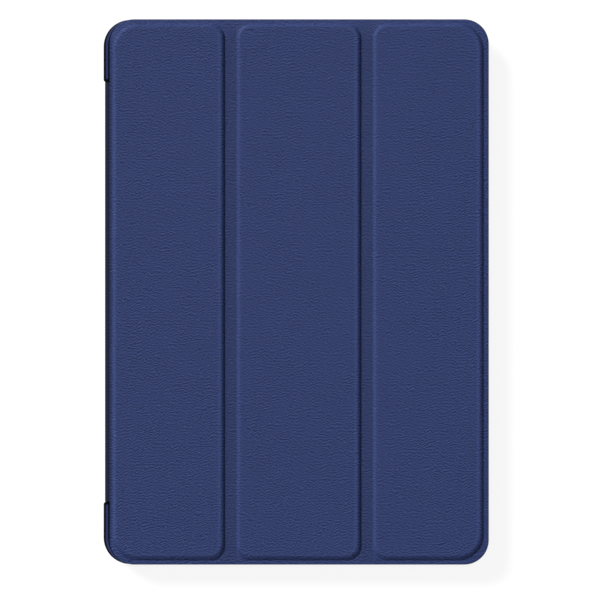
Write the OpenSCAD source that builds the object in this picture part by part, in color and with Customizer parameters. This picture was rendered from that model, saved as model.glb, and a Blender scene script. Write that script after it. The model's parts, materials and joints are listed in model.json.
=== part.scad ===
// Tri-fold folio case for a 10.2-inch class tablet.
// A hard plastic shell holds the tablet. One sheet of synthetic leather is glued to the
// shell's back, wraps round the hinge side as a spine and becomes a cover of three stiff
// panels, which fold along two soft channels.
// The case lies on its back: Z points up through the cover, Y along the spine, X from the
// spine to the free edge. The origin is under the middle of the closed case. Millimetres.

/* [Tablet] */
// Width of the tablet, across the spine
tablet_w = 174.1; // [150:0.1:200]
// Height of the tablet, along the spine
tablet_h = 250.6; // [220:0.1:290]
// Thickness of the tablet
tablet_t = 7.5; // [5.5:0.1:10]
// Clearance between the tablet and each wall
tablet_fit = 0.15; // [0.05:0.05:0.6]

/* [Shell] */
// Thickness of the side walls
wall_t = 2.0; // [1.6:0.1:3]
// Thickness of the floor
floor_t = 1.2; // [0.8:0.1:2]
// Outer radius of the four corners
shell_corner_r = 12.5; // [9:0.5:18]
// Radius of the rounded edge round the back
back_edge_r = 3.0; // [1:0.1:3.4]
// Radius of the rounded outer edge of the rim
rim_edge_r = 1.1; // [0.6:0.1:1.4]
// Height of the snap lip above the tablet
lip_h = 1.0; // [0.6:0.1:1.4]
// How far the snap lip reaches over the tablet
lip_reach = 0.8; // [0.4:0.1:1]
// Length of the opening that the corner clips leave for the spine
hinge_opening = 196.8; // [150:0.1:205]
// Radius at the free ends of the corner clips
clip_end_r = 1.1; // [0.4:0.1:1.8]

/* [Cut-outs] */
// Length of the power button notch in the top wall
power_notch_l = 24; // [16:1:30]
// Distance of the power button from the middle, towards the free edge
power_notch_x = 56; // [40:1:58]
// Width of the headphone notch in the top wall
jack_notch_w = 9; // [7:0.5:12]
// Distance of the headphone socket from the middle, towards the spine
jack_notch_x = 67; // [50:1:70]
// Length of the volume button notch in the free-side wall
volume_notch_l = 30; // [20:1:40]
// Distance of the volume buttons from the middle, towards the top
volume_notch_y = 86; // [60:1:90]
// Height of the button notches' lower edge above the pocket floor
notch_sill = 1.6; // [1:0.1:3]
// Length of the charging port slot in the bottom wall
port_slot_l = 16; // [13:0.5:22]
// Height of the charging port slot
port_slot_h = 6; // [4.5:0.1:6.4]
// Length of each speaker slot in the bottom wall
speaker_slot_l = 32; // [20:1:36]
// Height of each speaker slot
speaker_slot_h = 3; // [2:0.1:4]
// Distance of each speaker slot's middle from the port's middle
speaker_slot_x = 48; // [34:1:52]
// Diameter of the microphone hole in the top wall
mic_hole_d = 2; // [1:0.1:3]
// Diameter of the camera hole in the shell
camera_hole_d = 13; // [10:0.5:16]
// Distance of the camera from the tablet's top and free-side edges
camera_inset = 12.3; // [11:0.1:14]
// How much wider the camera hole is in the back skin, all round
camera_skin_step = 0.8; // [0.4:0.1:1.5]

/* [Sheet materials] */
// Thickness of the leather skin
skin_t = 0.6; // [0.4:0.05:0.8]
// Thickness of the suede lining
lining_t = 0.4; // [0.3:0.05:0.6]
// Thickness of the boards in the panels
board_t = 1.2; // [1.1:0.05:1.6]
// Thickness of the stiffener in the spine
spine_board_t = 0.4; // [0.2:0.05:0.6]
// How far the back skin stays in from the shell's outer edge
back_skin_inset = 3.6; // [3.5:0.1:5]
// How much of the back skin stands out of its recess
back_skin_proud = 0.15; // [0.05:0.05:0.3]

/* [Cover] */
// Gap between the closed cover and the shell's rim
cover_gap = 0.3; // [0.2:0.05:0.8]
// How far the cover reaches past the shell at its free edge
free_overhang = 1.9; // [0:0.1:3]
// How far the cover reaches past the shell at its top and bottom edges
end_overhang = 0.1; // [0:0.05:1]
// Distance of panel 1's cut edge from the shell's outer hinge side
hinge_setback = 2.95; // [2.85:0.05:4]
// Distance of the spine's outer face from the shell's outer hinge side
spine_setback = 0.6; // [0.3:0.05:0.6]
// Radius of the cover's outer corners
cover_corner_r = 11.5; // [8:0.5:16]
// Radius of the skin's bend where the back turns into the spine
back_bend_r = 2.0; // [1.8:0.1:2.2]

/* [Panels] */
// Width from panel 1's cut edge to the middle of the first fold
panel_1_w = 56.5; // [50:0.05:60]
// Width from the first fold's middle to the second fold's middle
panel_2_w = 63.75; // [58:0.05:66]
// Width of the flat channel between two pads
fold_channel_w = 5.1; // [4.8:0.1:8]
// Width of the soft strip between a fold's two outer creases
fold_strip_w = 3.7; // [2.8:0.1:4.4]
// Width of the slope round each raised pad
pad_slope = 2.2; // [1.2:0.1:3]
// Radius of the pads' corners at the cover's outer corners
pad_outer_r = 12; // [7:0.5:14]
// Radius of the pads' corners beside a fold channel
pad_fold_r = 6.8; // [3.2:0.1:8]
// Flat margin between a pad and the hinge edge
hinge_margin = 1.0; // [0.5:0.1:3]
// Flat margin between a pad and the free edge
free_margin = 2.45; // [1:0.05:5]
// Flat margin between a pad and the top and bottom edges
end_margin = 1.7; // [1:0.05:5]

/* [Magnets] */
// Length of each closing magnet
magnet_l = 20; // [10:1:30]
// Width of each closing magnet
magnet_w = 4; // [3:0.5:6]
// Thickness of the magnets
magnet_t = 0.9; // [0.5:0.1:1]
// Number of closing magnets in the free edge
magnet_count = 4; // [2:1:4]
// Distance between neighbouring closing magnets
magnet_pitch = 58; // [40:1:60]
// Distance of the closing magnets' centre line from the pad's edge
magnet_inset = 6.5; // [6:0.5:10]
// Diameter of the magnet that wakes the tablet
wake_magnet_d = 8; // [4:0.5:10]
// Distance of the wake magnet from the pad's free edge
wake_magnet_inset = 16; // [14:0.5:24]

/* [Hidden] */
$fn = 64;
CREASE = 0.05;          // half the width of the cut at each crease
FIT = 0.1;              // clearance round a piece that lies in a pocket
BIG = 400;              // longer than the case, for cuts that run right through

navy = [0.13, 0.17, 0.33];
navy_channel = [0.11, 0.14, 0.28];
navy_shell = [0.10, 0.13, 0.26];
suede = [0.20, 0.23, 0.36];
card = [0.55, 0.50, 0.42];
steel = [0.70, 0.71, 0.73];

// Levels, from the surface that the case lies on
floor_z = skin_t;                              // underside of the shell's floor
pocket_z = floor_z + floor_t;                  // top of the floor, where the tablet lies
lip_z = pocket_z + tablet_t;                   // underside of the snap lip
rim_z = lip_z + lip_h;                         // top of the shell's rim
lining_z = rim_z + cover_gap;                  // underside of the closed cover
core_z = lining_z + lining_t;                  // boards and skin lie on the lining here
border_z = core_z + skin_t;                    // top of the flat border and channels
port_z = pocket_z + tablet_t / 2;              // middle height of the tablet's edge

// Places in plan
shell_w = tablet_w + 2 * (tablet_fit + wall_t);
shell_h = tablet_h + 2 * (tablet_fit + wall_t);
shell_x = -free_overhang / 2;                  // the shell's middle
shell_left = shell_x - shell_w / 2;
shell_right = shell_x + shell_w / 2;
cover_h = shell_h + 2 * end_overhang;
cover_left = shell_left + hinge_setback;
cover_right = shell_right + free_overhang;
hinge_l = hinge_opening - 0.6;                 // the spine, 0.3 short of each clip

// Spine and its two bends
spine_x = shell_left + spine_setback;          // outer face
spine_t = skin_t + spine_board_t + lining_t;
front_bend_r = cover_left - spine_x;
front_bend = [cover_left, border_z - front_bend_r];
back_bend = [spine_x + back_bend_r, back_bend_r];
floor_edge_x = spine_x + spine_t + 0.65;       // where the floor stops beside the spine
spine_board_z0 = back_bend[1] + 0.6;
spine_board_z1 = front_bend[1] - 0.6;

// Panels: [left crease, right crease], and pads: [left edge, right edge]
fold_1_x = cover_left + panel_1_w;
fold_2_x = fold_1_x + panel_2_w;
half_strip = fold_strip_w / 2;
half_channel = fold_channel_w / 2;
panel_x = [[cover_left, fold_1_x - half_strip - CREASE],
           [fold_1_x + half_strip + CREASE, fold_2_x - half_strip - CREASE],
           [fold_2_x + half_strip + CREASE, cover_right]];
pad_x = [[cover_left + hinge_margin, fold_1_x - half_channel],
         [fold_1_x + half_channel, fold_2_x - half_channel],
         [fold_2_x + half_channel, cover_right - free_margin]];
panel_r = [[cover_corner_r, 0], [0, 0], [0, cover_corner_r]];
pad_r = [[pad_outer_r, pad_fold_r], [pad_fold_r, pad_fold_r], [pad_fold_r, pad_outer_r]];
pad_h = cover_h - 2 * end_margin;

// ---- Shared shapes

// Extrudes a section, drawn with X across and Y up, along the spine
module along_spine(length) {
    rotate([90, 0, 0]) linear_extrude(length, center = true) children();
}

// Sweeps a section round a rounded rectangle. In the section X is the distance in from the
// outer face, up to the corner radius, and Y is the height
module sweep_round(w, h, r) {
    for (side = [0, 1], turn = [0, 180]) {
        across = side == 0 ? w : h;
        along = side == 0 ? h : w;
        rotate([0, 0, turn + 90 * side]) along_spine(along - 2 * r)
            translate([across / 2, 0]) mirror([1, 0]) children();
    }
    for (sx = [-1, 1], sy = [-1, 1])
        translate([sx * (w / 2 - r), sy * (h / 2 - r), 0])
            rotate([0, 0, sx > 0 ? (sy > 0 ? 0 : -90) : (sy > 0 ? 90 : 180)])
                rotate_extrude(angle = 90) translate([r, 0]) mirror([1, 0]) children();
}

// Outline from x0 to x1 with round corners of radius r0 on the left and r1 on the right
module outline(x0, x1, h, r0, r1) {
    translate([x0 + r0, -h / 2]) square([x1 - x0 - r0 - r1, h]);
    for (end = [[x0, x0 + r0, r0], [x1 - r1, x1 - r1, r1]])
        if (end[2] > 0) {
            translate([end[0], end[2] - h / 2]) square([end[2], h - 2 * end[2]]);
            for (sy = [-1, 1]) translate([end[1], sy * (h / 2 - end[2])]) circle(end[2]);
        }
}

// Low pad with a sloping edge all round, standing on z = 0
module pad(xs, h, rs, height) {
    x0 = xs[0];
    x1 = xs[1];
    translate([x0 + rs[0], 0, 0]) rotate([90, 0, 90]) linear_extrude(x1 - x0 - rs[0] - rs[1])
        polygon([[-h / 2, 0], [h / 2, 0], [h / 2 - pad_slope, height], [pad_slope - h / 2, height]]);
    for (side = [0, 1]) {
        r = rs[side];
        corner_x = side == 0 ? x0 + r : x1 - r;
        flank = [[0, 0], [r, 0], [r - pad_slope, height], [0, height]];
        translate([corner_x, 0, 0]) mirror([1 - side, 0, 0]) {
            along_spine(h - 2 * r) polygon(flank);
            for (sy = [0, 1]) mirror([0, sy, 0]) translate([0, h / 2 - r, 0])
                rotate_extrude(angle = 90) polygon(flank);
        }
    }
}

// Outline of a rounded slot that lies along X
module slot(length, height) {
    for (sx = [-1, 1]) translate([sx * (length - height) / 2, 0]) circle(height / 2);
    square([length - height, height], center = true);
}

// ---- Shell

// Section through the wall and the floor's edge, with the snap lip over the tablet
module wall_section() {
    low = floor_z - skin_t + back_skin_proud;
    lip_centre = wall_t + lip_reach - lip_h;
    difference() {
        union() {
            translate([0, low]) square([wall_t, rim_z - rim_edge_r - low]);
            translate([0, low]) square([shell_corner_r, pocket_z - low]);
            translate([rim_edge_r, lip_z - lip_h]) square([lip_centre - rim_edge_r, 2 * lip_h]);
            intersection() {
                translate([rim_edge_r, rim_z - rim_edge_r]) circle(rim_edge_r);
                translate([0, lip_z - lip_h]) square([rim_edge_r, 2 * lip_h]);
            }
            intersection() {
                translate([lip_centre, lip_z]) circle(lip_h);
                translate([lip_centre, lip_z]) square(lip_h);
            }
        }
        difference() {
            translate([-1, low - 1]) square(back_edge_r + 1);
            translate([back_edge_r, low + back_edge_r]) circle(back_edge_r);
        }
        translate([back_skin_inset - FIT, low - 1]) square([shell_corner_r, 1 + floor_z - low]);
    }
}

// Opening for the spine between the corner clips, whose outer ends are rounded
module hinge_cut() {
    half = hinge_opening / 2;
    translate([shell_left - 1, -half, -1]) cube([floor_edge_x - shell_left + 1, 2 * half, BIG]);
    translate([shell_left - 1, -half, lip_z - 2 * lip_h])
        cube([2 + wall_t + lip_reach, 2 * half, BIG]);   // the lip reaches past the floor's edge
    translate([shell_left - 1, -half, -1])
        cube([1 + back_skin_inset + shell_corner_r, 2 * half, 1 + floor_z]);
    for (sy = [-1, 1]) translate([shell_left, sy * half, -1]) linear_extrude(BIG) difference() {
        translate([-1, -clip_end_r]) square([1 + clip_end_r, 2 * clip_end_r]);
        translate([clip_end_r, sy * clip_end_r]) circle(clip_end_r);
        translate([-1, sy > 0 ? clip_end_r : -2 * clip_end_r]) square([2 + clip_end_r, clip_end_r]);
    }
}

// Notch from the rim down, with a round-cornered sill, cut through a wall along Y
module button_notch(length, sill) {
    r = min(1.5, length / 2 - 0.1);
    rotate([90, 0, 0]) linear_extrude(4 * wall_t, center = true) {
        translate([-length / 2, sill + r]) square([length, rim_z]);
        translate([r - length / 2, sill]) square([length - 2 * r, 2 * r]);
        for (sx = [-1, 1]) translate([sx * (length / 2 - r), sill + r]) circle(r);
    }
}

module wall_cuts() {
    top_y = shell_h / 2 - wall_t / 2;
    right_x = shell_right - wall_t / 2;
    sill = pocket_z + notch_sill;
    translate([shell_x + power_notch_x, top_y, 0]) button_notch(power_notch_l, sill);
    translate([shell_x - jack_notch_x, top_y, 0])
        button_notch(jack_notch_w, port_z - jack_notch_w / 2 + 1);
    translate([shell_x, top_y, port_z]) rotate([90, 0, 0])
        cylinder(d = mic_hole_d, h = 4 * wall_t, center = true);
    translate([right_x, volume_notch_y, 0]) rotate([0, 0, 90]) button_notch(volume_notch_l, sill);
    translate([shell_x, -top_y, port_z]) along_spine(4 * wall_t) {
        slot(port_slot_l, port_slot_h);
        for (sx = [-1, 1]) translate([sx * speaker_slot_x, 0]) slot(speaker_slot_l, speaker_slot_h);
    }
}

// Cuts the camera's hole, which is wider in the skin than in the shell
module camera_hole(step) {
    translate([shell_x + tablet_w / 2 - camera_inset, tablet_h / 2 - camera_inset, -1])
        cylinder(d = camera_hole_d + 2 * step, h = pocket_z + 2);
}

module rear_shell() {
    inner_w = shell_w - 2 * shell_corner_r;
    inner_h = shell_h - 2 * shell_corner_r;
    color(navy_shell) difference() {
        translate([shell_x, 0, 0]) union() {
            sweep_round(shell_w, shell_h, shell_corner_r) wall_section();
            translate([-inner_w / 2, -inner_h / 2, floor_z]) cube([inner_w, inner_h, floor_t]);
        }
        hinge_cut();
        wall_cuts();
        camera_hole(0);
    }
}

// ---- Leather on the back and the spine

// Section of everything that lies deeper than depth below the leather's outer face, from the
// back through both bends of the spine to the cover
module wrap_form(depth) {
    reach = back_skin_inset + shell_corner_r;
    r_back = back_bend_r - depth;
    r_front = front_bend_r - depth;
    translate(back_bend) {
        circle(r_back);
        translate([0, -r_back]) square([reach, r_back]);
        translate([-r_back, 0]) square([r_back, front_bend[1] - back_bend[1]]);
    }
    translate(front_bend) {
        circle(r_front);
        square([hinge_margin, r_front]);
        translate([-r_front, back_bend[1] - front_bend[1]])
            square([r_front, front_bend[1] - back_bend[1]]);
    }
}

module wrap_layer(depth, thickness) {
    difference() {
        wrap_form(depth);
        wrap_form(depth + thickness);
    }
}

// Ends of a cut across a bend at 45 degrees, half a crease's width to one side of the middle
function cut_line(centre, angle, side) =
    let (across = CREASE * side * [-sin(angle), cos(angle)])
    [centre + across, centre + across + 2 * back_bend_r * [cos(angle), sin(angle)]];

// The parts of the section on each side of the two creases, which lie on the bends
module below_back_crease() {
    cut = cut_line(back_bend, 225, 1);
    polygon([cut[0], cut[1], [cut[1][0], -1], [back_bend[0] + BIG, -1], [back_bend[0] + BIG, cut[0][1]]]);
}

module between_creases() {
    polygon(concat(cut_line(back_bend, 225, -1), [for (k = [1, 0]) cut_line(front_bend, 135, 1)[k]]));
}

module above_front_crease() {
    cut = cut_line(front_bend, 135, -1);
    top = border_z + 1;
    right = front_bend[0] + hinge_margin;
    polygon([cut[0], cut[1], [cut[1][0], top], [right, top], [right, cut[0][1]]]);
}

module back_skin() {
    w = shell_w - 2 * back_skin_inset;
    h = shell_h - 2 * back_skin_inset;
    r = shell_corner_r - back_skin_inset;
    color(navy) difference() {
        union() {
            linear_extrude(skin_t) outline(shell_x - w / 2, shell_x + w / 2, h, r, r);
            along_spine(hinge_l) intersection() {
                wrap_layer(0, skin_t);
                below_back_crease();
            }
        }
        camera_hole(camera_skin_step);
    }
}

module spine_skin() {
    color(navy) along_spine(hinge_l) intersection() {
        wrap_layer(0, skin_t);
        between_creases();
    }
}

module spine_board() {
    color(card) along_spine(hinge_l - 2) translate([spine_x + skin_t, spine_board_z0])
        square([spine_board_t, spine_board_z1 - spine_board_z0]);
}

// The lining runs beside the skin at both bends and steps inwards over the stiffener
module spine_lining() {
    color(suede) along_spine(hinge_l) intersection() {
        difference() {
            wrap_form(skin_t);
            stiffener_step(0);
            difference() {
                wrap_form(skin_t + lining_t);
                stiffener_step(lining_t);
            }
        }
        between_creases();
    }
}

// What the stiffener takes up of the spine's section, widened inwards by depth
module stiffener_step(depth) {
    ramp = 0.5;
    near = spine_x + skin_t;
    far = near + spine_board_t + depth;
    polygon([[near - 1, spine_board_z0 - ramp], [near + depth, spine_board_z0 - ramp],
             [far, spine_board_z0], [far, spine_board_z1],
             [near + depth, spine_board_z1 + ramp], [near - 1, spine_board_z1 + ramp]]);
}

// ---- Panels

// One layer of the front bend's upper half, which belongs to panel 1
module panel_side_bend(depth, thickness) {
    along_spine(hinge_l) intersection() {
        wrap_layer(depth, thickness);
        above_front_crease();
    }
}

// Pressed leather: a flat border with a raised pad, hollow below for the board
module panel_skin(i) {
    color(navy) difference() {
        union() {
            translate([0, 0, core_z]) linear_extrude(skin_t)
                outline(panel_x[i][0], panel_x[i][1], cover_h, panel_r[i][0], panel_r[i][1]);
            translate([0, 0, border_z]) pad(pad_x[i], pad_h, pad_r[i], board_t);
            if (i == 0) panel_side_bend(0, skin_t);
        }
        translate([0, 0, core_z]) pad(pad_x[i], pad_h, pad_r[i], board_t);
    }
}

// Stiff board with bevelled edges, which fills the hollow of its skin
module panel_board(i) {
    color(card) translate([0, 0, core_z])
        pad([pad_x[i][0] + FIT, pad_x[i][1] - FIT], pad_h - 2 * FIT, pad_r[i] - [FIT, FIT], board_t);
}

module panel_lining(i) {
    color(suede) {
        translate([0, 0, lining_z]) linear_extrude(lining_t)
            outline(panel_x[i][0], panel_x[i][1], cover_h, panel_r[i][0], panel_r[i][1]);
        if (i == 0) panel_side_bend(skin_t, lining_t);
    }
}

// Half of a soft strip, between an outer crease and the fold's middle
module half_fold(middle, side, z, t) {
    x0 = side < 0 ? middle - half_strip : middle;
    translate([x0 + CREASE, -cover_h / 2, z]) cube([half_strip - 2 * CREASE, cover_h, t]);
}

module fold_skin(middle, side) {
    color(navy_channel) half_fold(middle, side, core_z, skin_t);
}

module fold_lining(middle, side) {
    color(suede) half_fold(middle, side, lining_z, lining_t);
}

// ---- Magnets, let into the boards from below

// Centre lines of the closing magnets and of the steel keepers that meet them in the stand
closing_x = pad_x[2][1] - magnet_inset;
keeper_x = pad_x[0][0] + magnet_inset;
wake_pos = [pad_x[2][1] - wake_magnet_inset, magnet_pitch / 2];

module bar_row(x, clearance) {
    for (k = [0 : magnet_count - 1])
        translate([x - magnet_w / 2 - clearance,
                   (k - (magnet_count - 1) / 2) * magnet_pitch - magnet_l / 2 - clearance,
                   core_z - clearance])
            cube([magnet_w + 2 * clearance, magnet_l + 2 * clearance, magnet_t + clearance]);
}

module wake_disc(clearance) {
    translate([wake_pos[0], wake_pos[1], core_z - clearance])
        cylinder(d = wake_magnet_d + 2 * clearance, h = magnet_t + clearance);
}

module panel_1_board() difference() {
    panel_board(0);
    bar_row(keeper_x, FIT);
}

module panel_3_board() difference() {
    panel_board(2);
    bar_row(closing_x, FIT);
    wake_disc(FIT);
}

module stand_keepers() color(steel) bar_row(keeper_x, 0);
module closing_magnets() color(steel) bar_row(closing_x, 0);
module wake_magnet() color(steel) wake_disc(0);

rear_shell();
back_skin();
spine_skin();
spine_board();
spine_lining();
panel_skin(0);  // panel_1_skin
panel_1_board();
panel_lining(0);  // panel_1_lining
stand_keepers();
fold_skin(fold_1_x, -1);  // fold_1_skin_a
fold_skin(fold_1_x, 1);  // fold_1_skin_b
fold_lining(fold_1_x, -1);  // fold_1_lining_a
fold_lining(fold_1_x, 1);  // fold_1_lining_b
panel_skin(1);  // panel_2_skin
panel_board(1);  // panel_2_board
panel_lining(1);  // panel_2_lining
fold_skin(fold_2_x, -1);  // fold_2_skin_a
fold_skin(fold_2_x, 1);  // fold_2_skin_b
fold_lining(fold_2_x, -1);  // fold_2_lining_a
fold_lining(fold_2_x, 1);  // fold_2_lining_b
panel_skin(2);  // panel_3_skin
panel_3_board();
panel_lining(2);  // panel_3_lining
closing_magnets();
wake_magnet();
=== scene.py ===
"""Looks of the tri-fold tablet case: pressed leather, suede lining and moulded shell.

All lengths are in metres. The closed case lies on its back with its cover up. X runs from the
spine to the free edge, Y along the spine and Z up. A place on the flat sheet of leather is given
by s and y: s is the cover's own x, and goes on falling round the spine and along the back.
"""
import json
import math

import bmesh
import bpy
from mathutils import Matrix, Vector


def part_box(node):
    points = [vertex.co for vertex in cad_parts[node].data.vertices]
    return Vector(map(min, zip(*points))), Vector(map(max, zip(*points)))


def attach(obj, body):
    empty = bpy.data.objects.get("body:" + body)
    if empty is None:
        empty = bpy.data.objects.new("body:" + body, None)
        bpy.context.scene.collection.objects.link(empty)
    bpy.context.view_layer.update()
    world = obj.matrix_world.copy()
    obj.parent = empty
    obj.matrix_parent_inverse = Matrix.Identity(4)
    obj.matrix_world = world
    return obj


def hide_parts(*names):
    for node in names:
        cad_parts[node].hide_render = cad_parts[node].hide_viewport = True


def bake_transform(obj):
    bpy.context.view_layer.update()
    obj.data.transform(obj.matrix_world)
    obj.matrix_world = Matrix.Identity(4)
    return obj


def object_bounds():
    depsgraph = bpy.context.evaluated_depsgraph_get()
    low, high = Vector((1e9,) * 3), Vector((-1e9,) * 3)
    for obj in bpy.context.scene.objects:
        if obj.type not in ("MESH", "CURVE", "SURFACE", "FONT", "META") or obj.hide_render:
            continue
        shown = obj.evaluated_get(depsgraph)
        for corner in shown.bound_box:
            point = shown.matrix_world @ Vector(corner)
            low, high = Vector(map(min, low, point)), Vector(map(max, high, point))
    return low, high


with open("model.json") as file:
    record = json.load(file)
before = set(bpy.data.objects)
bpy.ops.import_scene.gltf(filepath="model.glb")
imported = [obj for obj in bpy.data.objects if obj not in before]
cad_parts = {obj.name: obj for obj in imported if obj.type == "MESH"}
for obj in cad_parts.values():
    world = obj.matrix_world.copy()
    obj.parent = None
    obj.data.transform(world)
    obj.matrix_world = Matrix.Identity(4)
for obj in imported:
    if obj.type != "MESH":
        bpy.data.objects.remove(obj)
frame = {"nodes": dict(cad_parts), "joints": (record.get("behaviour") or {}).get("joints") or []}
cad_low, cad_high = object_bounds()

MM = 0.001
TURN = 2 * math.pi

# ---- Places from the frame

hinge = {j["name"]: Vector(j["pos_m"]) for j in frame["joints"]}

border_z = hinge["flip_fold_1"].z                  # outer face of the flat leather
lining_z = hinge["stand_crease_1_near"].z          # inner face of the lining
core_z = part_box("fold_1_skin_a")[0].z              # where leather and lining meet
top_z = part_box("panel_2_skin")[1].z                # top of the pads
cover_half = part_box("panel_2_skin")[1].y
cover_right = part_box("panel_3_skin")[1].x
hinge_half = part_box("spine_skin")[1].y
spine_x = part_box("spine_skin")[0].x                # outer face of the spine
skin = border_z - core_z                           # thickness of the leather
lining = core_z - lining_z                         # and of the lining
pad_rise = top_z - border_z
board_low, board_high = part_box("spine_board")
stiffener = board_high.x - board_low.x             # thickness of the board in the spine
shell_low, shell_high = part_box("rear_shell")
back_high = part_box("back_skin")[1]
back_left = shell_low.x + (shell_high.x - back_high.x)

# The two hinges of the spine lie half-way round quarter bends of the leather, which is this share
# of the bend's radius in from the spine's outer face
HALF_WAY_GAP = 1 - math.sqrt(0.5)
front_r = (hinge["cover_swing"].x - spine_x) / HALF_WAY_GAP
back_r = (hinge["spine_swing"].x - spine_x) / HALF_WAY_GAP
cover_left = spine_x + front_r
back_bend_x = spine_x + back_r

fold_x = [hinge["flip_fold_1"].x, hinge["flip_fold_2"].x]
half_strip = fold_x[0] - hinge["stand_crease_1_near"].x

# ---- Sizes

# Cover and pads
COVER_CORNER_R = 11.5 * MM
PAD_OUTER_R = 12.0 * MM                            # pad corners at the cover's outer sides
PAD_FOLD_R = 6.8 * MM                              # and beside a fold
BACK_R = 8.9 * MM                                  # corners of the leather on the back
BOARD_FIT = 0.1 * MM                               # the boards' clearance in their pads
FOOT_IN = 0.42 * MM                                # a pad's foot lies this far inside its pocket,
                                                   # but at its edge on the right-hand side
LOW_FOOT_OUT = 0.17 * MM                           # and this much further out at the lower end
LIP_IN = 0.4 * MM                                  # spacing of the rings inside a pad's shoulder
LIP_RINGS = 4
LIP_FADE = 3 * LIP_IN                              # over which the painted sheen of the shoulder ends
FOLD_LAP = 0.6 * MM                                # leather beyond a crease that bends with it
EDGE_R = 0.15 * MM                                 # rounding of the leather's cut edge
SUEDE_EDGE_R = 0.12 * MM
FRONT_BEND_DROP = 3.4 * MM                         # height of the rounded top of the spine

# A pad's flank: its width, how fast it levels out, and how softly it starts to rise
SHOULDER, SLOPE_POWER, FOOT_POWER = 1.65 * MM, 2.6, 1.6       # on the left and at the upper end
RIGHT_FLANK = (2.6 * MM, SLOPE_POWER, 1.02)
LOW_FLANK = (2.55 * MM, 1.6, 1.0)

# Pressed line in the lining
LINE_IN = 2.0 * MM                                 # from a pad's foot to the line's middle
LINE_DEPTH = 0.12 * MM
LINE_WIDTH = 0.9 * MM
LINE_STEPS = 8

# Tones of the leather
DARK_IN = 0.64 * MM                                # painted shade round the spine starts this far off the pad
DARK_WIDTH = 1.3 * MM                              # and is fully dark this much further
DARK_LENGTH = 17 * MM                              # from the cover's side to the tone's end, on the
                                                   # back, along the sheet
DARK_FADE = 3 * MM                                 # over which it ends there
CHANNEL_SHADE_FADE = 0.3 * MM                              # over which the painted shade of a channel ends
SHEEN_WIDTH = 9 * MM                             # part of a panel with painted sheen, from its right side
LEAST_SHEEN = 0.25                               # painted sheen on the rest of it
SHEEN_FROM = 0.5                                 # share of the flank's width where the painted sheen starts

# Shell
SHELL_CORNER_R = 12.5 * MM
CLIP_GAP = 0.3 * MM                                # between the spine and each corner clip
RIM_LINE = 1.10 * MM                               # sets where the painted shade lines of a clip's rim give way to its lit navy band
RIM_SHADE = 0.385                                   # share of the shown rim taken by the painted shade line at its outer edge
SEAM_SHADOW = 0.20                                   # share taken by the painted shadow line along the cover's edge
CLIP_ROUND = 1.75 * MM                             # radius at the end of a clip's navy band
RIM_SOFT = 0.08 * MM                               # over which the rim's tones change
RIM_TONE = 1.6 * MM                                # the rim's painted tones start this far below its top
RIM_TONE_FULL = 0.4 * MM                           # and is full from here on

# Meshing
WELD = 1e-6                                        # points closer than this become one
SOFT_SHARP = math.radians(35)                      # edges of soft pieces sharper than this show
RIGID_SHARP = math.radians(30)
FLAT_ANGLE = math.radians(0.5)                     # shell faces this close to one plane are joined
LEAST_R = 0.02 * MM                                # least radius of a rounded corner
CORNER_STEPS = 16
EDGE_STEPS, SUEDE_EDGE_STEPS = 4, 3
END_POINTS, RIGHT_POINTS, LEFT_POINTS = 7, 15, 11  # inner points on a ring's straight sides
FLANK_STEPS = 14
FLANK_CROWD = 1.5                                  # how much its steps crowd towards the foot
SWING_HOLD = 3                                     # how late a corner lets go of the side's inset
STRIP_ROWS = 24                                    # inner rows of points along a strip
EDGE_CREASE_STEPS, MIDDLE_CREASE_STEPS = 8, 14
FRONT_STEPS, SIDE_STEPS, BACK_STEPS = 18, 20, 14
HOLE_STEPS = 64
STOP = 0.02 * MM                                   # a step this short ends the joined part
NEAR_SIDE = 1 * MM                                 # points this close to a side belong to it
RAMP = 0.5 * MM                                    # over which the lining steps over the stiffener


# ---- Mesh tools

def clamp(value, low=0.0):
    """value, kept from low to 1."""
    return min(max(value, low), 1.0)


def link(obj):
    bpy.context.scene.collection.objects.link(obj)
    return obj


def mesh_object(name, bm, sharp, mesh=None):
    """An object made from bm. It is shaded smooth but for edges sharper than the angle sharp."""
    if mesh is None:
        mesh = bpy.data.meshes.new(name)
    bm.to_mesh(mesh)
    bm.free()
    mesh.shade_smooth()
    mesh.set_sharp_from_angle(angle=sharp)
    return link(bpy.data.objects.new(name, mesh))


def sheet_bmesh():
    """A bmesh whose points store where they lie on the flat sheet, and their painted light: painted
    sheen, painted shade in the fold channels and painted shade round the spine."""
    bm = bmesh.new()
    sheet_layer = bm.verts.layers.float_vector.new("sheet")
    painted_light_layer = bm.verts.layers.float_vector.new("painted_light")
    return bm, sheet_layer, painted_light_layer


def sheet_piece(name, verts, faces, sheet, painted_light=None):
    """An object of sheet material. Doubled points are merged."""
    bm, sheet_layer, painted_light_layer = sheet_bmesh()
    made = []
    for i, co in enumerate(verts):
        v = bm.verts.new(co)
        v[sheet_layer] = sheet[i]
        v[painted_light_layer] = painted_light[i] if painted_light else (0.0, 0.0, 0.0)
        made.append(v)
    for f in faces:
        corners = []
        for k in f:
            if not corners or made[k] is not corners[-1]:
                corners.append(made[k])
        bm.faces.new(corners)
    bmesh.ops.remove_doubles(bm, verts=bm.verts, dist=WELD)
    bmesh.ops.dissolve_degenerate(bm, dist=WELD, edges=bm.edges)
    bmesh.ops.recalc_face_normals(bm, faces=bm.faces)
    return mesh_object(name, bm, SOFT_SHARP)


def arc(cx, cy, r, a0, a1, steps):
    """Points on a circle, from angle a0 to a1 in degrees."""
    turns = [math.radians(a0 + (a1 - a0) * k / steps) for k in range(steps + 1)]
    return [(cx + r * math.cos(t), cy + r * math.sin(t)) for t in turns]


def between(a, b, count):
    """count values strictly between a and b."""
    return [a + (b - a) * (k + 1) / (count + 1) for k in range(count)]


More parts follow.
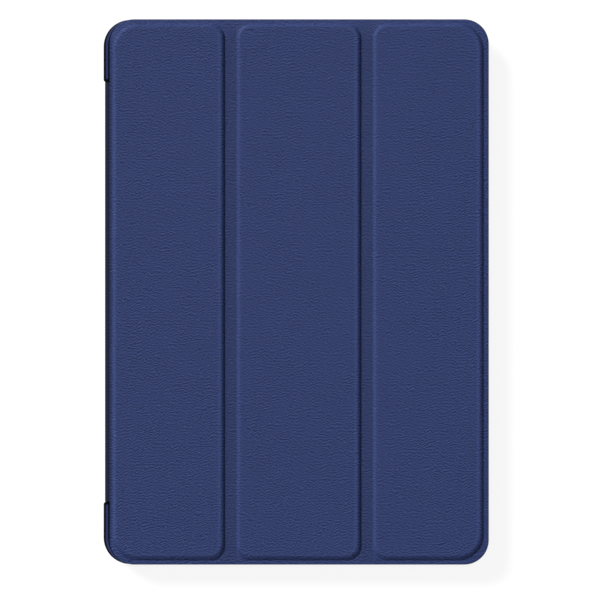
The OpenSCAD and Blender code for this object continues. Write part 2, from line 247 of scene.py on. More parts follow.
def ring(x0, x1, half, r0, r1, inset, left=None, right=None, low=None):
    """Rounded rectangle as a loop of points. r0 and r1 are its corners' radii on the left and the
    right. inset shrinks it; left, right and low give those sides their own inset. The left side
    always has points at the ends of the spine."""
    left = inset if left is None else left
    right = inset if right is None else right
    low = inset if low is None else low
    ax, bx, foot, head = x0 + left, x1 - right, low - half, half - inset
    ra, rb = [max(r - inset, LEAST_R) if r > 0 else 0.0 for r in (r0, r1)]
    n = CORNER_STEPS
    pts = arc(ax + ra, foot + ra, ra, 180, 270, n)
    pts += [(x, foot) for x in between(ax + ra, bx - rb, END_POINTS)]
    pts += arc(bx - rb, foot + rb, rb, 270, 360, n)
    pts += [(bx, y) for y in between(foot + rb, head - rb, RIGHT_POINTS)]
    # Upper right corner: where the right side has its own inset, it holds well round the corner
    swing = right - inset if r1 > 0 else 0.0
    for k in range(n + 1):
        turn, kept = math.radians(90 * k / n), 1 - (k / n) ** SWING_HOLD
        r = rb - swing * (kept - math.cos(turn))
        pts.append((bx - rb + r * math.cos(turn), head - rb + r * math.sin(turn)))
    pts += [(x, head) for x in between(bx - rb, ax + ra, END_POINTS)]
    pts += arc(ax + ra, head - ra, ra, 90, 180, n)
    stops = [s * y for y in (hinge_half, hinge_half + STOP) for s in (1, -1)]
    side = between(head - ra, foot + ra, LEFT_POINTS) + stops
    pts += [(ax, y) for y in sorted(side, reverse=True)]
    return pts


def joined(pts, side, to):
    """Moves the left side of a ring to another x, along the spine's length."""
    return [(to if abs(y) <= hinge_half + STOP / 2 and x < side + NEAR_SIDE else x, y)
            for x, y in pts]


def at_height(pts, z):
    return [(x, y, z) for x, y in pts]


def tube(rows, n):
    """Faces between neighbouring loops of n points each."""
    faces = []
    for j in range(rows - 1):
        for i in range(n):
            k = (i + 1) % n
            faces.append((j * n + i, j * n + k, (j + 1) * n + k, (j + 1) * n + i))
    return faces


def loft(loops):
    """Points and faces of a closed body through a row of loops of the same number of points."""
    n, last = len(loops[0]), len(loops) - 1
    caps = [tuple(range(n - 1, -1, -1)), tuple(last * n + i for i in range(n))]
    return [point for loop in loops for point in loop], tube(len(loops), n) + caps


def edge_round(r, steps=EDGE_STEPS):
    """(distance in from the side, drop from the face) round a small edge, from face to side."""
    turns = [math.radians(90 * k / steps) for k in range(steps + 1)]
    return [(r * (1 - math.sin(t)), r * (1 - math.cos(t))) for t in turns]


def flank(d):
    """Height of a pad, from 0 to 1, at distance d in from its foot on the left."""
    return (1 - (1 - clamp(d / SHOULDER)) ** SLOPE_POWER) ** FOOT_POWER


def flank_place(height, width, slope, foot):
    """Distance in from the foot at which a flank of that width and shape reaches a height."""
    return width * (1 - (1 - height ** (1 / foot)) ** (1 / slope))


# ---- Leather pads of the cover

seam = half_strip + FOLD_LAP                       # from a fold's middle to the stiff panels
inner_seam = half_strip - FOLD_LAP

panel_x = [(cover_left, fold_x[0] - seam),
           (fold_x[0] + seam, fold_x[1] - seam),
           (fold_x[1] + seam, cover_right)]
panel_r = [(COVER_CORNER_R, 0.0), (0.0, 0.0), (0.0, COVER_CORNER_R)]
pad_r = [(PAD_OUTER_R, PAD_FOLD_R), (PAD_FOLD_R, PAD_FOLD_R), (PAD_FOLD_R, PAD_OUTER_R)]
pad_box, pocket_box, pocket_slope = [], [], []     # boxes: left x, right x and half length
for i in range(3):
    low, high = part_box(f"panel_{i + 1}_board")
    pocket_box.append((low.x - BOARD_FIT, high.x + BOARD_FIT, high.y + BOARD_FIT))
    pad_box.append((pocket_box[i][0] + FOOT_IN, pocket_box[i][1], pocket_box[i][2] - FOOT_IN))
    top_left = min(v.co.x for v in frame["nodes"][f"panel_{i + 1}_board"].data.vertices
                   if v.co.z > high.z - BOARD_FIT)
    pocket_slope.append(top_left - low.x)          # width of the board's bevel

channel_half = (pad_box[1][0] - pad_box[0][1]) / 2
dark_from = pad_box[0][0] - DARK_IN
dark_until = cover_left - DARK_LENGTH


def cover_ring(i, inset, z):
    """Loop round panel i's outline. Sides that continue into a fold or the spine aren't inset."""
    left = 0.0 if i > 0 else None
    right = 0.0 if i < 2 else None
    pts = ring(*panel_x[i], cover_half, *panel_r[i], inset, left, right)
    return at_height(joined(pts, cover_left, cover_left) if i == 0 else pts, z)


def pad_ring(i, inset, z):
    """Loop on pad i. Its right side and its lower end have flanks of their own."""
    x0, x1, half = pad_box[i]
    height, beyond = flank(inset), max(inset - SHOULDER, 0.0)
    right = flank_place(height, *RIGHT_FLANK) + beyond
    low = flank_place(height, *LOW_FLANK) + beyond - LOW_FOOT_OUT
    return at_height(ring(x0, x1, half, *pad_r[i], inset, right=right, low=low), z)


def pocket_ring(i, inset, z):
    """Loop round the hollow that holds panel i's board."""
    return at_height(ring(*pocket_box[i], *pad_r[i], inset), z)


def bend_shade(s):
    """Painted shade round the spine, by the leather's place along the sheet."""
    return clamp((dark_from - s) / DARK_WIDTH) * clamp((s - dark_until) / DARK_FADE)


def channel_shade(s, y):
    """Painted shade in the channels of the folds: full across them, and along their length to near
    the pads' ends.
    """
    off = min(abs(s - x) for x in fold_x)
    across = clamp((channel_half + CHANNEL_SHADE_FADE - off) / CHANNEL_SHADE_FADE)
    along = clamp((pad_box[1][2] - PAD_FOLD_R / 2 - abs(y)) / PAD_FOLD_R + 1)
    return across * along


def sheen_weight(i, x):
    """How much painted sheen panel i's shoulders get: full at the pad's right side, least further
    left.
    """
    return clamp(1.0 - (pad_box[i][1] - x) / SHEEN_WIDTH, LEAST_SHEEN)


def panel_leather(i):
    """Skin of one panel: raised pad, flat border, and a pocket for the board on its inside."""
    loops, ring_sheen = [], []
    # Each ring's share of the painted sheen: the pad's top near its edge, and its upper flank
    for d in [LIP_IN * k for k in range(LIP_RINGS, 0, -1)]:
        loops.append(pad_ring(i, SHOULDER + d, border_z + pad_rise))
        ring_sheen.append(max(1 - d / LIP_FADE, 0.0))
    for d in [SHOULDER * (k / FLANK_STEPS) ** FLANK_CROWD for k in range(FLANK_STEPS, -1, -1)]:
        loops.append(pad_ring(i, d, border_z + pad_rise * flank(d)))
        ring_sheen.append(clamp((d / SHOULDER - SHEEN_FROM) / (1 - SHEEN_FROM)))
    loops += [cover_ring(i, inset, border_z - drop) for inset, drop in edge_round(EDGE_R)]
    loops.append(cover_ring(i, 0.0, border_z - skin))
    loops.append(pocket_ring(i, 0.0, core_z))
    loops.append(pocket_ring(i, pocket_slope[i], core_z + pad_rise))
    ring_sheen += [0.0] * (len(loops) - len(ring_sheen))
    verts, faces = loft(loops)
    sheet = [(x, y, z - border_z) for x, y, z in verts]
    n = len(loops[0])
    # Painted light of each point: sheen on the shoulders, shade in the channels and round the spine
    painted_light = [(ring_sheen[k // n] * sheen_weight(i, x), channel_shade(x, y), bend_shade(x))
              for k, (x, y, z) in enumerate(verts)]
    return sheet_piece(f"cover_panel_{i + 1}", verts, faces, sheet, painted_light)


def panel_lining(i):
    """Suede with a shallow embossed line that follows the board's edge."""
    loops = [cover_ring(i, 0.0, core_z)]
    for inset, drop in reversed(edge_round(SUEDE_EDGE_R, SUEDE_EDGE_STEPS)):
        loops.append(cover_ring(i, inset, lining_z + drop))
    for k in range(LINE_STEPS + 1):
        inset = LINE_IN + LINE_WIDTH * (k / LINE_STEPS - 0.5)
        rise = LINE_DEPTH * 0.5 * (1 - math.cos(TURN * k / LINE_STEPS))
        loops.append(pad_ring(i, inset, lining_z + rise))
    verts, faces = loft(loops)
    return sheet_piece(f"panel_suede_{i + 1}", verts, faces, verts)


# ---- Strips of the sheet that bend: folds and spine

# A path is a row of points (x, z, nx, nz, s, d0, d1): a place on the leather's outer face, its
# normal there, its place along the flat sheet, and the depths below it of a layer's two faces

def strip(name, path, half, face_r, under_r):
    """A length of sheet swept along Y over a path. face_r and under_r round its outer and its
    inner face at the cut ends."""
    ends = [(max(a[0], b[0]), a[1], b[1])
            for a, b in zip(edge_round(face_r), edge_round(under_r))]
    stations = [(-half + inset, drop0, drop1) for inset, drop0, drop1 in reversed(ends)]
    stations += [(y, 0.0, 0.0)
                 for y in between(-half + ends[0][0], half - ends[0][0], STRIP_ROWS)]
    stations += [(half - inset, drop0, drop1) for inset, drop0, drop1 in ends]
    verts, sheet, painted_light = [], [], []

    def add(point, y, depth):
        x, z, nx, nz, s = point[:5]
        verts.append((x - nx * depth, y, z - nz * depth))
        sheet.append((s, y, -depth))
        # Painted shade of each point: in the channels and round the spine; no sheen
        painted_light.append((0.0, channel_shade(s, y), bend_shade(s)))

    for y, drop0, drop1 in stations:
        for point in path:
            add(point, y, point[5] + drop0)
        for point in reversed(path):
            add(point, y, point[6] - drop1)
    m = 2 * len(path)
    faces = tube(len(stations), m)
    for base, flip in ((0, False), ((len(stations) - 1) * m, True)):
        for i in range(len(path) - 1):
            quad = (base + i, base + m - 1 - i, base + m - 2 - i, base + i + 1)
            faces.append(quad[::-1] if flip else quad)
    return sheet_piece(name, verts, faces, sheet, painted_light)


def flat_path(x0, x1, steps, d0, d1):
    """Along the cover's flat border."""
    places = [x0 + (x1 - x0) * k / steps for k in range(steps + 1)]
    return [(x, border_z, 0.0, 1.0, x, d0, d1) for x in places]


def bend_path(cx, cz, rx, rz, a0, a1, s0, steps, d0, d1):
    """Round an elliptic bend, from angle a0 to a1 in degrees. s0 is the sheet's place at a0."""
    out, s, last = [], s0, None
    for k in range(steps + 1):
        t = math.radians(a0 + (a1 - a0) * k / steps)
        x, z = cx + rx * math.cos(t), cz + rz * math.sin(t)
        nx, nz = math.cos(t) / rx, math.sin(t) / rz
        size = math.hypot(nx, nz)
        if last:
            s -= math.hypot(x - last[0], z - last[1])
        last = (x, z)
        out.append((x, z, nx / size, nz / size, s, d0, d1))
    return out


# ---- Materials

class Nodes:
    """Short names for building a material's node tree."""

    NOISE_LOW, NOISE_HIGH = 0.3, 0.7               # most values of a noise lie between these

    def __init__(self, name):
        self.material = bpy.data.materials.new(name)
        self.material.use_nodes = True
        self.tree = self.material.node_tree
        self.shader = self.tree.nodes["Principled BSDF"]

    def feed(self, socket, value):
        """Links another node's output to a socket, or sets a plain value on it."""
        if isinstance(value, bpy.types.NodeSocket):
            self.tree.links.new(value, socket)
        else:
            socket.default_value = value

    def add(self, kind, inputs=(), **props):
        node = self.tree.nodes.new("ShaderNode" + kind)
        for key, value in props.items():
            setattr(node, key, value)
        for key, value in dict(inputs).items():
            self.feed(node.inputs[key], value)
        return node

    def math(self, operation, a, b=0.0, c=0.0):
        return self.add("Math", {0: a, 1: b, 2: c}, operation=operation).outputs[0]

    def vector(self, operation, *inputs, output=0):
        node = self.add("VectorMath", dict(enumerate(inputs)), operation=operation)
        return node.outputs[output]

    def split(self, vector):
        return self.add("SeparateXYZ", {0: vector}).outputs

    def attribute(self, name):
        node = self.add("Attribute", attribute_name=name, attribute_type="GEOMETRY")
        return node.outputs["Vector"]

    def place(self):
        return self.add("TexCoord").outputs["Object"]

    def noise(self, vector, scale, detail=2.0, rough=0.5, distortion=0.0):
        """scale is one number of cells in a metre, or three of them, along X, Y and Z."""
        if isinstance(scale, tuple):
            vector, scale = self.vector("MULTIPLY", vector, scale), 1.0
        return self.add("TexNoise", {"Vector": vector, "Scale": scale, "Detail": detail,
                                     "Roughness": rough, "Distortion": distortion}).outputs["Fac"]

    def remap(self, value, low, high, to_low, to_high):
        return self.add("MapRange", {"Value": value, "From Min": low, "From Max": high,
                                     "To Min": to_low, "To Max": to_high}).outputs[0]

    def spread(self, noise, to_low, to_high):
        return self.remap(noise, self.NOISE_LOW, self.NOISE_HIGH, to_low, to_high)

    def mix(self, factor, a, b):
        """Mix of two colours. They are inputs 6 and 7 and output 2 of the node."""
        return self.add("Mix", {0: factor, 6: a, 7: b}, data_type="RGBA").outputs[2]

    def bump(self, height, strength, distance):
        inputs = {"Height": height, "Strength": strength, "Distance": distance}
        return self.add("Bump", inputs).outputs[0]

    def shade(self, **values):
        """Sets or links the shader's inputs, and gives the finished material."""
        for key, value in values.items():
            self.feed(self.shader.inputs[key.replace("_", " ")], value)
        return self.material


NAVY = (0.0282, 0.0447, 0.1350, 1)
NAVY_LOW = (0.0114, 0.0200, 0.0762, 1)
# Painted highlight: the lighter navy of the sheen on the pads' shoulders
NAVY_SHEEN = (0.0345, 0.0545, 0.1700, 1)
WRINKLE_PITCH = 1.43 * MM                          # from one row of wrinkles to the next
GRAIN_LEAN = -0.3                                  # how far the grain leans off the rows
# Two sets of rows: their pitch, and the scale and size of the shift that breaks them up
FIRST_ROWS = (WRINKLE_PITCH, 660, 2.9)
SECOND_ROWS = (0.88 * WRINKLE_PITCH, 1000, 3.2)
FIRST_WEIGHT, SECOND_WEIGHT, ROWS_WEIGHT = 1.15, 0.75, 0.66   # shares in the grain's height
CRACKLE_WEIGHT, FINE_WEIGHT = 0.28, 0.08
SHIFT_STRETCH = 3.4                                # the shift's cells are this much longer along Y
ROW_DEPTH = (0.15, 0.35)                           # it varies over the sheet
VALLEY_LOW, VALLEY_HIGH = 0.40, 1.00               # heights at which the painted shade in the grain's hollows is deepest, and gone
BLOTCH_TINT = (0.987, 1.013)                       # slow changes of tone
SHEEN_SHARE = 0.55                                  # how far the painted sheen takes the colour to the lighter navy
CHANNEL_SHADE_TINT, SPINE_SHADE_TINT = -0.15, -0.84             # loss of lightness for the painted shade in the channels and round the spine
LEATHER_ROUGH = 0.50
FINE_ROUGH, SPINE_SHADE_ROUGH = 0.14, 0.30                # what the fine grain, and the spine's painted shade, add to that
LEATHER_BUMP = (0.85, 0.37 * MM)                   # strength and depth


def leather_material():
    """Pressed synthetic leather: short even wrinkles across the cover over a fine grain."""
    n = Nodes("leather_navy")
    flat = n.attribute("sheet")
    # Painted light stored on the points: sheen, shade in the channels, shade round the spine
    painted_sheen, channel_shade_share, spine_shade = n.split(n.attribute("painted_light"))
    across, along, deep = n.split(flat)
    leaning = n.add("CombineXYZ", {0: n.math("MULTIPLY_ADD", along, GRAIN_LEAN, across),
                                   1: along, 2: deep}).outputs[0]

    def ripple(pitch, scale, size):
        """Rows of short wrinkles: ripples along Y, broken up by a shift that changes fast in X."""
        shift = n.noise(leaning, (scale, scale / SHIFT_STRETCH, scale), 1.0)
        row = n.math("MULTIPLY_ADD", along, 1 / pitch, n.math("MULTIPLY", shift, size))
        return n.math("SINE", n.math("MULTIPLY", row, TURN))

    first, second = ripple(*FIRST_ROWS), ripple(*SECOND_ROWS)
    depth = n.spread(n.noise(flat, (260, 300, 260), 1.0), *ROW_DEPTH)
    crackle = n.noise(leaning, (1200, 1500, 900), 1.0)
    fine = n.noise(flat, (3200, 3200, 3200), 2.0, 0.6)
    rows = n.math("MULTIPLY_ADD", second, SECOND_WEIGHT, n.math("MULTIPLY", first, FIRST_WEIGHT))
    height = n.math("MULTIPLY_ADD", rows, n.math("MULTIPLY", depth, ROWS_WEIGHT), 0.5)
    height = n.math("MULTIPLY_ADD", crackle, CRACKLE_WEIGHT, height)
    height = n.math("MULTIPLY_ADD", fine, FINE_WEIGHT, height)
    # Painted shade: the grain's hollows are darker
    hollow_shade = n.remap(height, VALLEY_LOW, VALLEY_HIGH, 1.0, 0.0)
    blotch = n.noise(flat, (34, 34, 34))
    colour = n.mix(hollow_shade, NAVY, NAVY_LOW)
    # Painted highlight: a lighter navy on the pads' shoulders
    colour = n.mix(n.math("MULTIPLY", painted_sheen, SHEEN_SHARE), colour, NAVY_SHEEN)
    tint = n.spread(blotch, *BLOTCH_TINT)
    # Painted shade in the fold channels and round the spine
    for share, loss in ((channel_shade_share, CHANNEL_SHADE_TINT), (spine_shade, SPINE_SHADE_TINT)):
        tint = n.math("MULTIPLY", tint, n.math("MULTIPLY_ADD", share, loss, 1.0))
    colour = n.add("VectorMath", {0: colour, 3: tint}, operation="SCALE").outputs[0]
    rough = n.math("MULTIPLY_ADD", fine, FINE_ROUGH, LEATHER_ROUGH)
    rough = n.math("MULTIPLY_ADD", spine_shade, SPINE_SHADE_ROUGH, rough)
    normal = n.bump(height, *LEATHER_BUMP)
    return n.shade(Base_Color=colour, Roughness=rough, Normal=normal, Specular_IOR_Level=0.14)


SUEDE_LOW = (0.0120, 0.0165, 0.0480, 1)
SUEDE_MID = (0.0230, 0.0310, 0.0820, 1)
SUEDE_HIGH = (0.0400, 0.0520, 0.1230, 1)
SUEDE_SHEEN = (0.45, 0.55, 1.0, 1)
# Streaks and patches: the range of their noise over which they appear, and how light they get
STREAKS, STREAK_SHARE = (0.35, 0.68), 0.36
PATCHES, PATCH_SHARE = (0.40, 0.62), 0.18
SUEDE_BUMP = (0.6, 0.15 * MM)


def suede_material():
    """Brushed microfibre: fine fibres, soft streaks and patches where the nap lies another way."""
    n = Nodes("suede_lining")
    flat = n.attribute("sheet")
    fibre = n.noise(flat, (3800, 1500, 2600), 3.0, 0.7)
    brush = n.noise(flat, (420, 60, 300), 3.0, 0.62, 0.6)
    patch = n.noise(flat, (46, 30, 40), 2.0, 0.5, 0.9)
    colour = n.mix(n.spread(fibre, 0.0, 1.0), SUEDE_LOW, SUEDE_MID)
    colour = n.mix(n.remap(brush, *STREAKS, 0.0, STREAK_SHARE), colour, SUEDE_HIGH)
    colour = n.mix(n.remap(patch, *PATCHES, 0.0, PATCH_SHARE), colour, SUEDE_HIGH)
    rough = n.spread(brush, 0.84, 0.97)
    height = n.math("MULTIPLY_ADD", brush, 0.5, fibre)
    normal = n.bump(height, *SUEDE_BUMP)
    return n.shade(Base_Color=colour, Roughness=rough, Normal=normal, Sheen_Weight=0.25,
                   Sheen_Roughness=0.45, Sheen_Tint=SUEDE_SHEEN, Specular_IOR_Level=0.1)


def outline_distance(n, place, low, high, radius):
    """Distance in XY outside a rounded rectangle, negative inside it."""
    centre, half = (low + high) / 2, (high - low) / 2
    p = n.vector("SUBTRACT", place, centre)
    p = n.vector("MULTIPLY", n.vector("ABSOLUTE", p), (1, 1, 0))
    q = n.vector("SUBTRACT", p, (half.x - radius, half.y - radius, 0))
    beyond = n.vector("MAXIMUM", q, (0, 0, 0))
    corner = n.vector("LENGTH", beyond, output="Value")
    parts = n.split(q)
    inside = n.math("MINIMUM", n.math("MAXIMUM", parts[0], parts[1]), 0.0)
    return n.math("SUBTRACT", n.math("ADD", corner, inside), radius)


# Painted shade: near-black on the rim's top, its outer edge and along the cover's edge. Painted
# light: a lighter navy band on the clips' rim top
SHELL_EDGE_SHADE = (0.0008, 0.0010, 0.0020, 1)
RIM_LIT_NAVY = (0.0185, 0.0285, 0.0870, 1)
SHELL_DARK = (0.0095, 0.0130, 0.0370, 1)
SHELL_LIGHT = (0.0108, 0.0146, 0.0412, 1)
SHELL_BUMP = (0.15, 0.04 * MM)


def shell_material():
    """Moulded shell with a fine spark-eroded texture. The top of its rim is painted near-black as
    shade. Along each corner clip a lighter navy band is painted as lit, between painted shade at
    the rim's outer edge and painted shadow at the cover's edge; it ends round before the spine and
    fades out past the corner."""
    cover_low = Vector((cover_left, -cover_half, 0))
    cover_high = Vector((cover_right, cover_half, 0))
    n = Nodes("shell_plastic")
    place = n.place()
    spark = n.noise(place, 5200, 2.0, 0.6)
    flow = n.noise(place, 60)
    body = n.mix(n.spread(flow, 0.0, 1.0), SHELL_DARK, SHELL_LIGHT)
    x, y, z = n.split(place)
    outside = outline_distance(n, place, shell_low, shell_high, SHELL_CORNER_R)
    deep = n.math("MULTIPLY", outside, -1.0)
    edge = n.math("ABSOLUTE", outline_distance(n, place, cover_low, cover_high, COVER_CORNER_R))
    shown = n.math("ADD", deep, edge)              # width of the rim beside the cover
    # Painted shade line at the rim's outer edge, and painted shadow line along the cover's edge
    off_line = n.math("MULTIPLY_ADD", shown, -RIM_SHADE, deep)
    off_seam = n.math("MULTIPLY_ADD", shown, -SEAM_SHADOW, edge)
    inside = n.math("ADD", n.math("MINIMUM", off_line, off_seam), RIM_LINE)
    clip = n.math("SUBTRACT", n.math("ABSOLUTE", y), hinge_half + CLIP_GAP)
    clip = n.math("ADD", clip, n.remap(x, shell_low.x + SHELL_CORNER_R,
                                       shell_low.x + 2 * SHELL_CORNER_R, 0.0, 1.0))
    side_in = n.math("MAXIMUM", n.math("SUBTRACT", CLIP_ROUND, inside), 0.0)
    end_in = n.math("MAXIMUM", n.math("SUBTRACT", CLIP_ROUND, clip), 0.0)
    both = n.math("MULTIPLY_ADD", side_in, side_in, n.math("MULTIPLY", end_in, end_in))
    band = n.math("SUBTRACT", CLIP_ROUND, n.math("SQRT", both))
    band = n.remap(band, RIM_LINE - RIM_SOFT, RIM_LINE + RIM_SOFT, 0.0, 1.0)
    # Near its top the shell takes the rim's painted tones
    rim = n.remap(z, shell_high.z - RIM_TONE, shell_high.z - RIM_TONE_FULL, 0.0, 1.0)
    colour = n.mix(rim, body, n.mix(band, SHELL_EDGE_SHADE, RIM_LIT_NAVY))
    rough = n.spread(spark, 0.70, 0.82)
    normal = n.bump(spark, *SHELL_BUMP)
    return n.shade(Base_Color=colour, Roughness=rough, Normal=normal, Specular_IOR_Level=0.06)


BOARD_LOW = (0.26, 0.22, 0.16, 1)
BOARD_HIGH = (0.42, 0.38, 0.30, 1)
BOARD_BUMP = (0.3, 0.1 * MM)


def board_material():
    """Pressed grey board with short fibres."""
    n = Nodes("pressed_board")
    fibre = n.noise(n.place(), (900, 300, 900), 4.0, 0.65)
    colour = n.mix(fibre, BOARD_LOW, BOARD_HIGH)
    return n.shade(Base_Color=colour, Roughness=n.spread(fibre, 0.8, 0.95),
                   Normal=n.bump(fibre, *BOARD_BUMP))


METAL_DARK = 0.85                                  # tone of the grain's dark parts
METAL_BUMP = (0.1, 0.02 * MM)


def metal_material(name, base, rough, scale):
    """Metal with a fine grain. rough is the range of its roughness."""
    n = Nodes(name)
    grain = n.noise(n.place(), scale, 3.0, 0.6)
    dark = tuple(c * METAL_DARK for c in base) + (1,)
    return n.shade(Base_Color=n.mix(grain, dark, base + (1,)), Metallic=1.0,
                   Roughness=n.spread(grain, *rough), Normal=n.bump(grain, *METAL_BUMP))


leather_mat = leather_material()
suede_mat = suede_material()
shell_mat = shell_material()
board_mat = board_material()
magnet_mat = metal_material("nickel_plate", (0.62, 0.60, 0.58), (0.18, 0.3), (1500, 1500, 1500))
keeper_mat = metal_material("steel_strip", (0.50, 0.50, 0.52), (0.3, 0.45), (3000, 200, 3000))


# ---- The cover's pieces

def keep(obj, material, ride=None, blend=None, replaces=()):
    """Gives a piece its material, hangs it under the empty of the body it rides with, bakes its
    place into its mesh when a blend is given, and hides the nodes it replaces.
    """
    obj.data.materials.append(material)
    if ride:
        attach(obj, ride)
    if blend:
        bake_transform(obj)
    if replaces:
        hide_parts(*replaces)


class Layer:
    """One of the two sheets of a fold or bend."""

    def __init__(self, word, node_word, slot, material, depths, radii):
        self.word = word                           # in the names of its pieces
        self.node_word = node_word                 # in the names of the nodes they replace
        self.slot = slot
        self.material = material
        self.depths = depths                       # of its two faces below the leather's face
        self.radii = radii                         # of these faces at a cut end


leather = Layer("leather", "skin", "leather", leather_mat, (0.0, skin), (EDGE_R, 0.0))
suede = Layer("suede", "lining", "lining", suede_mat, (skin, skin + lining), (0.0, SUEDE_EDGE_R))
layers = (leather, suede)

for i in range(3):
    body = f"panel_{i + 1}"
    keep(panel_leather(i), leather_mat, ride=body, replaces=[f"{body}_skin"])
    keep(panel_lining(i), suede_mat, ride=body, replaces=[f"{body}_lining"])

# How far off its line each crease of a fold reaches, in the blend given to its pieces
EDGE_REACH = 0.92 * FOLD_LAP
MIDDLE_REACH = 0.8 * inner_seam

for number, middle in enumerate(fold_x, start=1):
    before, after = f"panel_{number}", f"panel_{number + 1}"
    near, far = f"fold_{number}_near", f"fold_{number}_far"
    spans = [
        ("a", middle - seam, middle - inner_seam, EDGE_CREASE_STEPS,
         before, near, middle - half_strip, EDGE_REACH),
        ("b", middle - inner_seam, middle + inner_seam, MIDDLE_CREASE_STEPS,
         near, far, middle, MIDDLE_REACH),
        ("c", middle + inner_seam, middle + seam, EDGE_CREASE_STEPS,
         far, after, middle + half_strip, EDGE_REACH)]
    for layer in layers:
        nodes = [f"fold_{number}_{layer.node_word}_{half}" for half in "ab"]
        for tag, x0, x1, steps, a, b, crease, reach in spans:
            piece = strip(f"fold_{number}_{layer.word}_{tag}",
                          flat_path(x0, x1, steps, *layer.depths), cover_half, *layer.radii)
            keep(piece, layer.material,
                 blend=(a, b, (crease - reach, 0, border_z), (crease + reach, 0, border_z)),
                 replaces=nodes)


# ---- Spine: front bend, side, back bend

def reach_of(point, pivot, direction):
    """How far along direction a layer's two faces lie from the pivot at a point of its path,
    the nearer one."""
    x, z, nx, nz, s, d0, d1 = point
    spans = [(Vector((x - nx * d, 0, z - nz * d)) - pivot).dot(direction) for d in (d0, d1)]
    return min(spans, key=abs)


def bend_pieces(name, paths, pivot, direction, a, b):
    """Leather and lining of one bend, between body a and body b. Both are given the same stretch.
    """
    start = max(reach_of(path[-1], pivot, direction) for path in paths)
    end = min(reach_of(path[0], pivot, direction) for path in paths)
    for layer, path in zip(layers, paths):
        keep(strip(f"{name}_{layer.word}", path, hinge_half, *layer.radii),
             layer.material,
             blend=(a, b, pivot + direction * start, pivot + direction * end))


def over_board(path):
    """The lining's path, stepped inwards where it passes over the spine's stiffener."""
    out = []
    for x, z, nx, nz, s, d0, d1 in path:
        over = stiffener * min(clamp((z - board_low.z + RAMP) / RAMP),
                               clamp((board_high.z + RAMP - z) / RAMP))
        out.append((x, z, nx, nz, s, d0 + over, d1 + over))
    return out


side_top, side_low = border_z - FRONT_BEND_DROP, back_r       # ends of the spine's flat side

front = [bend_path(cover_left, side_top, front_r, FRONT_BEND_DROP, 90, 180, cover_left,
                   FRONT_STEPS, *layer.depths) for layer in layers]
bend_pieces("front_bend", [front[0], over_board(front[1])], hinge["cover_swing"],
            Vector((1, 0, 1)).normalized(), "spine", "panel_1")

s_side = front[0][-1][4]                           # the sheet's place where the flat side starts
s_back = s_side - (side_top - side_low)            # and where it ends
back = [bend_path(back_bend_x, back_r, back_r, back_r, 180, 270, s_back,
                  BACK_STEPS, *layer.depths) for layer in layers]
bend_pieces("back_bend", back, hinge["spine_swing"],
            Vector((-1, 0, 1)).normalized(), "shell", "spine")


def side_path(d0, d1):
    """Down the spine's flat side."""
    heights = [side_top + (side_low - side_top) * k / SIDE_STEPS for k in range(SIDE_STEPS + 1)]
    return [(spine_x, z, -1.0, 0.0, s_side - (side_top - z), d0, d1) for z in heights]


keep(strip("spine_leather", side_path(*leather.depths), hinge_half, *leather.radii),
     leather_mat, ride="spine", replaces=["spine_skin"])
keep(strip("spine_suede", over_board(side_path(*suede.depths)), hinge_half, *suede.radii),
     suede_mat, ride="spine", replaces=["spine_lining"])

# ---- Leather on the back

s_floor = back[0][-1][4]                           # the sheet's place where the back starts

# Where to look for the camera hole's points in the CAD's back skin, from its corner
CAMERA_IN = 10.9 * MM
CAMERA_REACH = 9 * MM
OUTLINE_IN = 2 * MM                                # points closer to a side than this are outline


def back_ring(inset, z):
    """Loop round the back's outline. It reaches to the bend along the spine."""
    pts = ring(back_left, back_high.x, back_high.y, BACK_R, BACK_R, inset)
    return at_height(joined(pts, back_left, back_bend_x), z)


def camera_hole():
    """Middle and radius of the camera hole, which the CAD has in the back's upper right corner."""
    corner = Vector((back_high.x, back_high.y))
    middle = corner - Vector((CAMERA_IN, CAMERA_IN))
    found = [v.co for v in frame["nodes"]["back_skin"].data.vertices
             if (v.co.xy - middle).length < CAMERA_REACH
             and v.co.x < corner.x - OUTLINE_IN and v.co.y < corner.y - OUTLINE_IN]
    xs, ys = [v.x for v in found], [v.y for v in found]
    return Vector(((min(xs) + max(xs)) / 2, (min(ys) + max(ys)) / 2)), (max(xs) - min(xs)) / 2


def hole_ring(centre, r, z):
    turns = [TURN * k / HOLE_STEPS for k in range(HOLE_STEPS)]
    return [(centre.x + r * math.cos(t), centre.y + r * math.sin(t), z) for t in turns]


def back_leather():
    """The back's skin, with its outline and the camera hole rounded on the outside."""
    centre, hole_r = camera_hole()
    bm, sheet_layer, painted_light_layer = sheet_bmesh()

    def add_loop(points):
        made = [bm.verts.new(p) for p in points]
        for v in made:
            v[sheet_layer] = (s_floor - (v.co.x - back_bend_x), v.co.y, -v.co.z)
            # Painted shade round the spine, where it reaches the back
            v[painted_light_layer] = (0.0, 0.0, bend_shade(v[sheet_layer].x))
        return made

    outer = [add_loop(back_ring(inset, drop)) for inset, drop in edge_round(EDGE_R)]
    outer.append(add_loop(back_ring(0.0, skin)))
    inner = [add_loop(hole_ring(centre, hole_r + inset, drop))
             for inset, drop in edge_round(EDGE_R)]
    inner.append(add_loop(hole_ring(centre, hole_r, skin)))
    for loops in (outer, inner):
        for a, b in zip(loops, loops[1:]):
            for i in range(len(a)):
                k = (i + 1) % len(a)
                bm.faces.new((a[i], a[k], b[k], b[i]))
    for pair in ((outer[0], inner[0]), (outer[-1], inner[-1])):
        edges = []
        for loop in pair:
            for v, w in zip(loop, loop[1:] + loop[:1]):
                edges.append(bm.edges.get((v, w)) or bm.edges.new((v, w)))
        bmesh.ops.triangle_fill(bm, use_beauty=True, edges=edges)
    bmesh.ops.remove_doubles(bm, verts=bm.verts, dist=WELD)
    bmesh.ops.recalc_face_normals(bm, faces=bm.faces)
    return mesh_object("back_leather", bm, SOFT_SHARP)


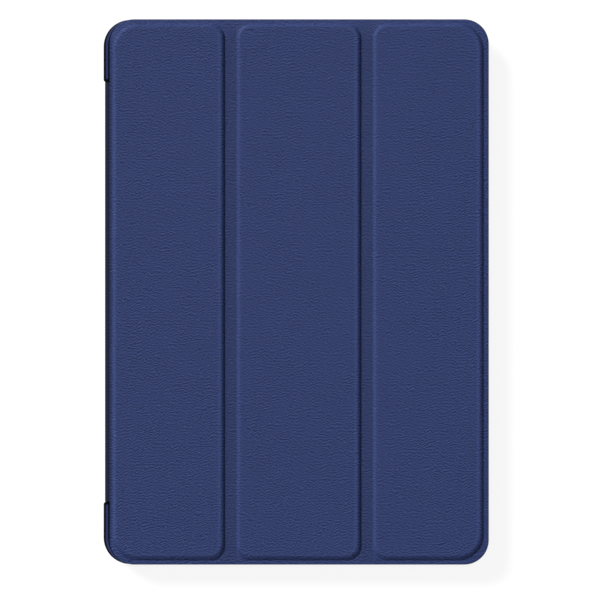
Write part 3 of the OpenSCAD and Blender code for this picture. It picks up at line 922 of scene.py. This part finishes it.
keep(back_leather(), leather_mat, ride="shell", replaces=["back_skin"])

# ---- Shell and what lies inside the panels

def shell_piece():
    """The CAD's shell with fewer faces."""
    mesh = frame["nodes"]["rear_shell"].data.copy()
    mesh.name = "moulded_shell"
    bm = bmesh.new()
    bm.from_mesh(mesh)
    bmesh.ops.remove_doubles(bm, verts=bm.verts, dist=WELD)
    bmesh.ops.dissolve_limit(bm, angle_limit=FLAT_ANGLE, verts=bm.verts, edges=bm.edges)
    obj = mesh_object("moulded_shell", bm, RIGID_SHARP, mesh)
    mesh.materials.clear()
    return obj


def dress(node, material):
    """Gives a CAD node another material."""
    mesh = frame["nodes"][node].data
    mesh.materials.clear()
    mesh.materials.append(material)
    mesh.shade_smooth()
    mesh.set_sharp_from_angle(angle=RIGID_SHARP)


keep(shell_piece(), shell_mat, ride="shell", replaces=["rear_shell"])
for node in ("spine_board", "panel_1_board", "panel_2_board", "panel_3_board"):
    dress(node, board_mat)
for node in ("closing_magnets", "wake_magnet"):
    dress(node, magnet_mat)
dress("stand_keepers", keeper_mat)


# ---- Studio

def sun(name, towards, angle, strength):
    """A sun that lies in the direction towards, and looks that many degrees wide."""
    data = bpy.data.lights.new(name, "SUN")
    data.angle = math.radians(angle)
    data.energy = strength
    obj = bpy.data.objects.new(name, data)
    obj.rotation_euler = (-Vector(towards)).to_track_quat("-Z", "Y").to_euler()
    link(obj)


WORLD_LIGHT = 0.28
world = bpy.data.worlds.new("studio")
world.use_nodes = True
background = world.node_tree.nodes["Background"].inputs
background["Color"].default_value = (1, 1, 1, 1)
background["Strength"].default_value = WORLD_LIGHT
bpy.context.scene.world = world

sun("key", towards=(-1.0, 0.95, 0.82), angle=25, strength=6.05)
sun("top", towards=(0.0, 0.0, 1.0), angle=40, strength=0.25)

FLOOR_HALF = 6.0
FLOOR_GAP = 0.02 * MM                              # between the floor and the case
FLOOR_GREY, FLOOR_GLOW = 0.16, 0.87                # paper that is nearly white by its own light
floor_mesh = bpy.data.meshes.new("floor")
floor_mesh.from_pydata([(-FLOOR_HALF, -FLOOR_HALF, 0), (FLOOR_HALF, -FLOOR_HALF, 0),
                        (FLOOR_HALF, FLOOR_HALF, 0), (-FLOOR_HALF, FLOOR_HALF, 0)],
                       [], [(0, 1, 2, 3)])
floor = link(bpy.data.objects.new("floor", floor_mesh))
floor.location.z = cad_low.z - FLOOR_GAP
floor_mesh.materials.append(Nodes("floor_paper").shade(
    Base_Color=(FLOOR_GREY, FLOOR_GREY, FLOOR_GREY, 1), Roughness=0.9, Specular_IOR_Level=0.1,
    Emission_Color=(1, 1, 1, 1), Emission_Strength=FLOOR_GLOW))

# The photograph: 600 pixels, each this wide at the lining's height, with the case's middle at
# these pixels
PIXEL = 0.468 * MM
CASE_PX = (296.05, 291.95)
IMAGE = 600
DISTANCE = 1.6                                     # of the camera from the case's back
SENSOR = 36                                        # width in millimetres, as the lens
FAR = 20                                           # beyond the floor's edges, from any side

camera_data = bpy.data.cameras.new("camera")
camera_data.sensor_width = SENSOR
camera_data.lens = SENSOR * (DISTANCE - lining_z) / (IMAGE * PIXEL)
camera_data.clip_end = FAR
camera = link(bpy.data.objects.new("camera", camera_data))
camera.location = ((IMAGE / 2 - CASE_PX[0]) * PIXEL, (CASE_PX[1] - IMAGE / 2) * PIXEL, DISTANCE)
bpy.context.scene.camera = camera
bpy.context.scene.view_settings.view_transform = "Standard"
